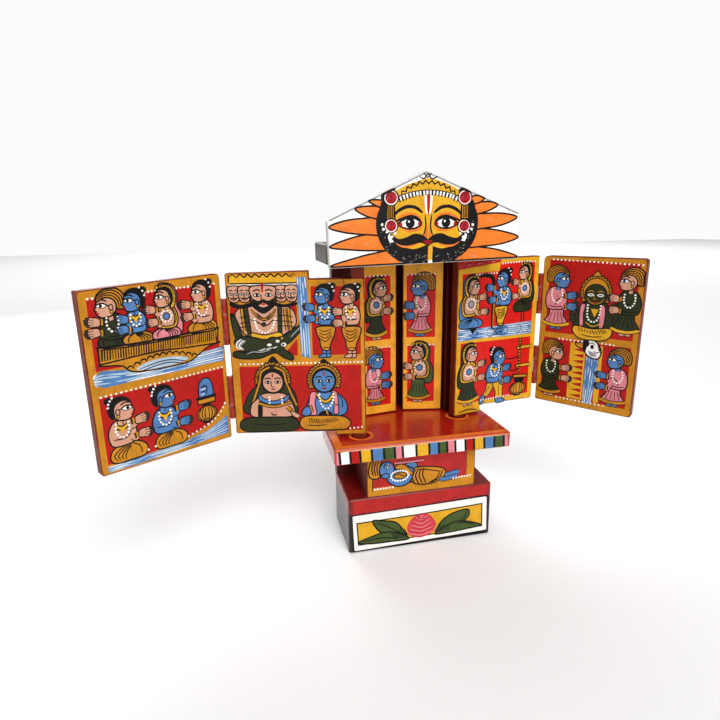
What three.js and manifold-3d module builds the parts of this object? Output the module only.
// Folding shrine box: a painted wooden storyteller's shrine with two pairs of folding doors.
// Millimetres, +Z up, +Y towards the back. The origin is the centre of the wide base's underside.
import * as THREE from 'three';
import { mergeVertices } from 'three/addons/utils/BufferGeometryUtils.js';
import Module from 'manifold-3d';

const wasm = await Module();
wasm.setup();

// Levels, from the floor up.
const BASE_TOP = 49;
const NECK_TOP = 84.5;
const PLATFORM_TOP = 98;
const ROOF_UNDERSIDE = 239.5;
const ROOF_TOP = 254.5;

// Half widths and depths of the fixed body.
const BASE_HALF = 63.5;
const CASE_HALF = 47.5;
const BOARD_HALF = 75;
const FRONT = -30;
const CASE_BACK = 60;
const WALL = 7.5;
const WALL_FRONT = 25;
const BACK_WALL = 6;
const UPRIGHT_FRONT = 19.8;
const UPRIGHT_BACK = 31;

// Doors: an 8 mm board each, turning on a wooden tongue in a round socket.
const DOOR = 8;
const SOCKET_RADIUS = 7;
const SOCKET_DEPTH = 10.5;
const TONGUE_GAP = 1;
const EDGE = 0.7;

// Butt hinges between an inner and an outer door, leaves on the board edges.
const HINGE_GAP = 1.7;
const HINGE_LIFT = 0.6;
const KNUCKLE_RADIUS = 1.7;
const BORE_RADIUS = 0.95;
const PIN_RADIUS = 0.75;
const LEAF = 0.7;
const LEAF_DEPTH = 7;
const KNUCKLE_CLEARANCE = 0.3;

// The small doors of the sanctum, turning on pegs.
const PANEL = 4.5;
const PEG_RADIUS = 2.1;
const PEG_HOLE_RADIUS = 2.5;
const PEG_LENGTH = 4.4;
const PEG_X = 37;
const PEG_Y = 32;

const LEFT = {
  side: 1,
  pivot: [-48, -12.5],
  turn: 168.8,
  fold: 44.2,
  innerReach: 101.8,
  inner: [
    [-4.4, 100.8, 1], [20.8, 100.8, 1], [20.8, 104, 0.5], [101.8, 104, 1.5],
    [101.8, 233.7, 2], [38.1, 234.7, 1.2], [38.1, 228.4, 0.5], [-4.4, 228.4, 1],
  ],
  outer: [[1.7, 102, 1.5], [104, 103.6, 2.5], [104, 230.3, 1.2], [1.7, 234.1, 4]],
  tongue: [-4.4, 5.8],
  hinges: { lower: [117.6, 153.2], upper: [178.3, 214.7] },
};

const RIGHT = {
  side: -1,
  pivot: [47, 11],
  turn: 14,
  fold: -66,
  innerReach: 85.3,
  inner: [
    [-6.5, 99.3, 1], [23, 99.3, 1], [23, 105.7, 0.5], [85.3, 102.2, 2.5],
    [85.3, 238, 1.5], [-6.5, 237.4, 1],
  ],
  outer: [[1.7, 101.6, 1.5], [87, 100.2, 2.5], [87, 237.2, 3], [1.7, 238, 4.5]],
  tongue: [-5.2, 5.2],
  hinges: { lower: [116.9, 154.1], upper: [184.7, 221.9] },
};

const COLOURS = {
  red: 0xa8201c, darkRed: 0x5e1310, ochre: 0xd39a2c, yellow: 0xe2b12f, white: 0xe9e6df,
  grey: 0x8d8a86, hinge: 0xb02a22,
};

const finishes = {};
for (const [name, colour] of Object.entries(COLOURS)) {
  const metal = name === 'hinge';
  finishes[name] = new THREE.MeshStandardMaterial({
    name, color: colour, roughness: metal ? 0.45 : 0.38, metalness: metal ? 0.3 : 0,
  });
}

/** A closed solid for boolean work, from a three.js geometry. */
function toSolid(geometry) {
  const bare = geometry.clone();
  bare.deleteAttribute('normal');
  bare.deleteAttribute('uv');
  const merged = mergeVertices(bare, 1e-5);
  const mesh = new wasm.Mesh({
    numProp: 3,
    vertProperties: Float32Array.from(merged.attributes.position.array),
    triVerts: Uint32Array.from(merged.index.array),
  });
  mesh.merge();
  return new wasm.Manifold(mesh);
}

/** A three.js geometry from a closed solid. */
function toGeometry(solid) {
  const mesh = solid.getMesh();
  const geometry = new THREE.BufferGeometry();
  geometry.setAttribute('position', new THREE.BufferAttribute(mesh.vertProperties, 3));
  geometry.setIndex(new THREE.BufferAttribute(mesh.triVerts, 1));
  geometry.computeVertexNormals();
  return geometry;
}

/** A flat shape whose corners [x, y, radius] are rounded. */
function outline(corners) {
  const shape = new THREE.Shape();
  const count = corners.length;
  corners.forEach(([x, y, radius = 0], i) => {
    const before = corners[(i + count - 1) % count];
    const after = corners[(i + 1) % count];
    const here = new THREE.Vector2(x, y);
    const from = new THREE.Vector2(before[0], before[1]).sub(here).setLength(radius).add(here);
    const to = new THREE.Vector2(after[0], after[1]).sub(here).setLength(radius).add(here);
    if (i === 0) shape.moveTo(from.x, from.y);
    else shape.lineTo(from.x, from.y);
    if (radius > 0) shape.quadraticCurveTo(x, y, to.x, to.y);
  });
  shape.closePath();
  return shape;
}

/** A board cut to an outline, from z = 0 to its thickness, with its edges eased. */
function board(corners, thickness, edge = EDGE) {
  const geometry = new THREE.ExtrudeGeometry(outline(corners), {
    depth: thickness - 2 * edge, steps: 1, curveSegments: 4, bevelEnabled: edge > 0,
    bevelThickness: edge, bevelSize: edge, bevelOffset: -edge, bevelSegments: 1,
  });
  return geometry.translate(0, 0, edge);
}

/** A board stood up: its outline is in x and z, and its thickness centred on y = 0. */
function standing(corners, thickness, edge = EDGE) {
  return board(corners, thickness, edge).rotateX(Math.PI / 2).translate(0, thickness / 2, 0);
}

/** A lying board between two levels. */
function lying(corners, bottom, top, edge = EDGE) {
  return board(corners, top - bottom, edge).translate(0, 0, bottom);
}

/** A plain block from one corner to the other. */
function block([x0, y0, z0], [x1, y1, z1]) {
  const geometry = new THREE.BoxGeometry(x1 - x0, y1 - y0, z1 - z0);
  return geometry.translate((x0 + x1) / 2, (y0 + y1) / 2, (z0 + z1) / 2);
}

/** An upright round bar. */
function rod(x, y, radius, bottom, top, sides = 20) {
  const geometry = new THREE.CylinderGeometry(radius, radius, top - bottom, sides);
  return geometry.rotateX(Math.PI / 2).translate(x, y, (bottom + top) / 2);
}

/** Joins solids, then cuts others away. */
function carve(added, cut = []) {
  let solid = toSolid(added[0]);
  for (const piece of added.slice(1)) solid = solid.add(toSolid(piece));
  for (const piece of cut) solid = solid.subtract(toSolid(piece));
  return toGeometry(solid);
}

const shrine = new THREE.Group();
shrine.name = 'folding_shrine_box';

/** Adds a named mesh to a group. */
function add(group, name, geometry, finish) {
  const mesh = new THREE.Mesh(geometry, finishes[finish]);
  mesh.name = name;
  group.add(mesh);
  return mesh;
}

/** The T-shaped plan shared by the base, platform and roof: wide in front, narrow behind. */
function tee(half, front, shoulder, round) {
  return [
    [-half, front, round], [half, front, round], [half, shoulder, 1.5], [CASE_HALF, shoulder, 0],
    [CASE_HALF, CASE_BACK, 0], [-CASE_HALF, CASE_BACK, 0], [-CASE_HALF, shoulder, 0],
    [-half, shoulder, 1.5],
  ];
}

// Fixed body.
add(shrine, 'base_block', lying(tee(BASE_HALF, FRONT, -FRONT, 3), 0, BASE_TOP, 0.9), 'red');
add(shrine, 'neck_block', lying([
  [-CASE_HALF, FRONT + 1, 0.8], [CASE_HALF, FRONT + 1, 0.8], [CASE_HALF, CASE_BACK, 0.8],
  [-CASE_HALF, CASE_BACK, 0.8],
], BASE_TOP, NECK_TOP, 0), 'ochre');

/** Round cuts for the tongues and pegs, from one level to another. */
function sockets(bottom, top, pegBottom, pegTop) {
  const cuts = [LEFT, RIGHT].map(({ pivot }) => rod(...pivot, SOCKET_RADIUS, bottom, top, 32));
  for (const x of [-PEG_X, PEG_X]) cuts.push(rod(x, PEG_Y, PEG_HOLE_RADIUS, pegBottom, pegTop));
  return cuts;
}

const uprightNotches = [-1, 1].map((side) => {
  const [a, b] = [side * CASE_HALF, side * (BASE_HALF + 0.01)].sort((p, q) => p - q);
  return block([a, UPRIGHT_FRONT, 60], [b, UPRIGHT_BACK + 10, 120]);
});
add(shrine, 'platform_board', carve(
  [lying(tee(BOARD_HALF, -37, 24, 1.8), NECK_TOP, PLATFORM_TOP, 1)],
  [
    ...sockets(PLATFORM_TOP - SOCKET_DEPTH, 110, PLATFORM_TOP - PEG_LENGTH - 0.6, 110),
    ...uprightNotches,
  ],
), 'red');
add(shrine, 'roof_slab', carve(
  [lying(tee(BOARD_HALF, -26.5, UPRIGHT_BACK, 0), ROOF_UNDERSIDE, ROOF_TOP, 0.8)],
  sockets(230, ROOF_UNDERSIDE + SOCKET_DEPTH, 230, ROOF_UNDERSIDE + PEG_LENGTH + 0.6),
), 'grey');

for (const [name, side] of [['left', -1], ['right', 1]]) {
  const upright = [
    [side * CASE_HALF, UPRIGHT_FRONT, 0], [side * BASE_HALF, UPRIGHT_FRONT, 0.8],
    [side * BASE_HALF, UPRIGHT_BACK, 0.8], [side * CASE_HALF, UPRIGHT_BACK, 0],
  ];
  const wall = [
    [side * (CASE_HALF - WALL), WALL_FRONT, 0.5], [side * CASE_HALF, WALL_FRONT, 0],
    [side * CASE_HALF, CASE_BACK - BACK_WALL, 0], [side * (CASE_HALF - WALL), CASE_BACK - BACK_WALL, 0],
  ];
  if (side < 0) {
    upright.reverse();
    wall.reverse();
  }
  add(shrine, `${name}_upright`, lying(upright, BASE_TOP, ROOF_UNDERSIDE, 0), 'darkRed');
  add(shrine, `${name}_wall`, lying(wall, PLATFORM_TOP, ROOF_UNDERSIDE, 0), 'darkRed');
}
add(shrine, 'back_wall', block(
  [-CASE_HALF, CASE_BACK - BACK_WALL, PLATFORM_TOP], [CASE_HALF, CASE_BACK, ROOF_UNDERSIDE],
), 'darkRed');

const pediment = add(shrine, 'pediment_board', standing([
  [-74, 237.4, 1], [74, 240.6, 1], [73.3, 274.6, 1.5], [-1.6, 305, 2], [-74.9, 271, 1.5],
], DOOR), 'white');
pediment.position.y = -26.5 - DOOR / 2;

/** The tongue that carries an inner door, between two levels, in the door's own frame. */
function tongue([near, far], bottom, top) {
  const half = DOOR / 2;
  return lying([[near, -half, 1.6], [far, -half, 1.6], [far, half, 1.6], [near, half, 1.6]], bottom, top, 0);
}

/**
 * One butt hinge in the frame of its barrel axis: two leaves with their knuckles, and the pin.
 * The inner leaf lies at -x, the outer one at +x turned by the fold; both reach back from the face.
 */
function hinge(side, [bottom, top]) {
  const third = (top - bottom) / 3;
  const spans = [0, 1, 2].map((i) => [bottom + i * third, bottom + (i + 1) * third]);
  const knuckle = ([low, high]) => rod(0, 0, KNUCKLE_RADIUS, low + 0.15, high - 0.15, 18);
  const relief = ([low, high]) => rod(0, 0, KNUCKLE_RADIUS + KNUCKLE_CLEARANCE, low - 0.15, high + 0.15, 18);
  const bore = rod(0, 0, BORE_RADIUS, bottom - 1, top + 1, 14);
  const leaf = (sign) => {
    const [x0, x1] = [sign * HINGE_GAP, sign * (HINGE_GAP - LEAF)].sort((a, b) => a - b);
    const [y0, y1] = [-side * LEAF_DEPTH, -side * 0.1].sort((a, b) => a - b);
    return block([x0, y0, bottom], [x1, y1, top]);
  };
  return {
    inner: carve([leaf(-1), knuckle(spans[0]), knuckle(spans[2])], [relief(spans[1]), bore]),
    outer: carve([leaf(1), knuckle(spans[1])], [relief(spans[0]), relief(spans[2]), bore]),
    pin: rod(0, 0, PIN_RADIUS, bottom, top, 12),
  };
}

/** An inner door on its pivot, its hinges, and the outer door folded forwards from it. */
function doorPair(name, spec) {
  const { side, pivot, turn, fold, inner, outer, innerReach, hinges } = spec;
  const half = DOOR / 2;
  const innerGroup = new THREE.Group();
  innerGroup.position.set(pivot[0], pivot[1], 0);
  innerGroup.rotation.z = THREE.MathUtils.degToRad(turn);
  shrine.add(innerGroup);

  const lowest = inner[0][1];
  const highest = inner[inner.length - 1][1];
  add(innerGroup, `${name}_inner_door`, carve([
    standing(inner, DOOR),
    tongue(spec.tongue, PLATFORM_TOP - SOCKET_DEPTH + TONGUE_GAP, lowest + 5),
    tongue(spec.tongue, highest - 5, ROOF_UNDERSIDE + SOCKET_DEPTH - TONGUE_GAP),
  ]), 'yellow');

  const barrel = new THREE.Group();
  barrel.position.set(innerReach + HINGE_GAP, side * (half + HINGE_LIFT), 0);
  innerGroup.add(barrel);
  const outerGroup = new THREE.Group();
  outerGroup.rotation.z = THREE.MathUtils.degToRad(fold);
  barrel.add(outerGroup);

  const outerDoor = add(outerGroup, `${name}_outer_door`, standing(outer, DOOR), 'ochre');
  outerDoor.position.y = -side * (half + HINGE_LIFT);
  for (const [level, span] of Object.entries(hinges)) {
    const parts = hinge(side, span);
    add(barrel, `${name}_${level}_inner_leaf`, parts.inner, 'hinge');
    add(barrel, `${name}_${level}_pin`, parts.pin, 'hinge');
    add(outerGroup, `${name}_${level}_outer_leaf`, parts.outer, 'hinge');
  }
}
doorPair('left', LEFT);
doorPair('right', RIGHT);

// Sanctum doors, each a thin panel on two pegs.
for (const [name, side, turn, reach] of [['left', -1, 9.5, 33.8], ['right', 1, 168.4, 34.3]]) {
  const door = add(shrine, `${name}_sanctum_door`, carve([
    standing([[-2, 98.7, 0.8], [reach, 98.7, 0.8], [reach, 238.8, 0.8], [-2, 238.8, 0.8]], PANEL, 0.5),
    rod(0, 0, PEG_RADIUS, PLATFORM_TOP - PEG_LENGTH, 102, 16),
    rod(0, 0, PEG_RADIUS, 235, ROOF_UNDERSIDE + PEG_LENGTH, 16),
  ]), 'ochre');
  door.position.set(side * PEG_X, PEG_Y, 0);
  door.rotation.z = THREE.MathUtils.degToRad(turn);
}

export default shrine;
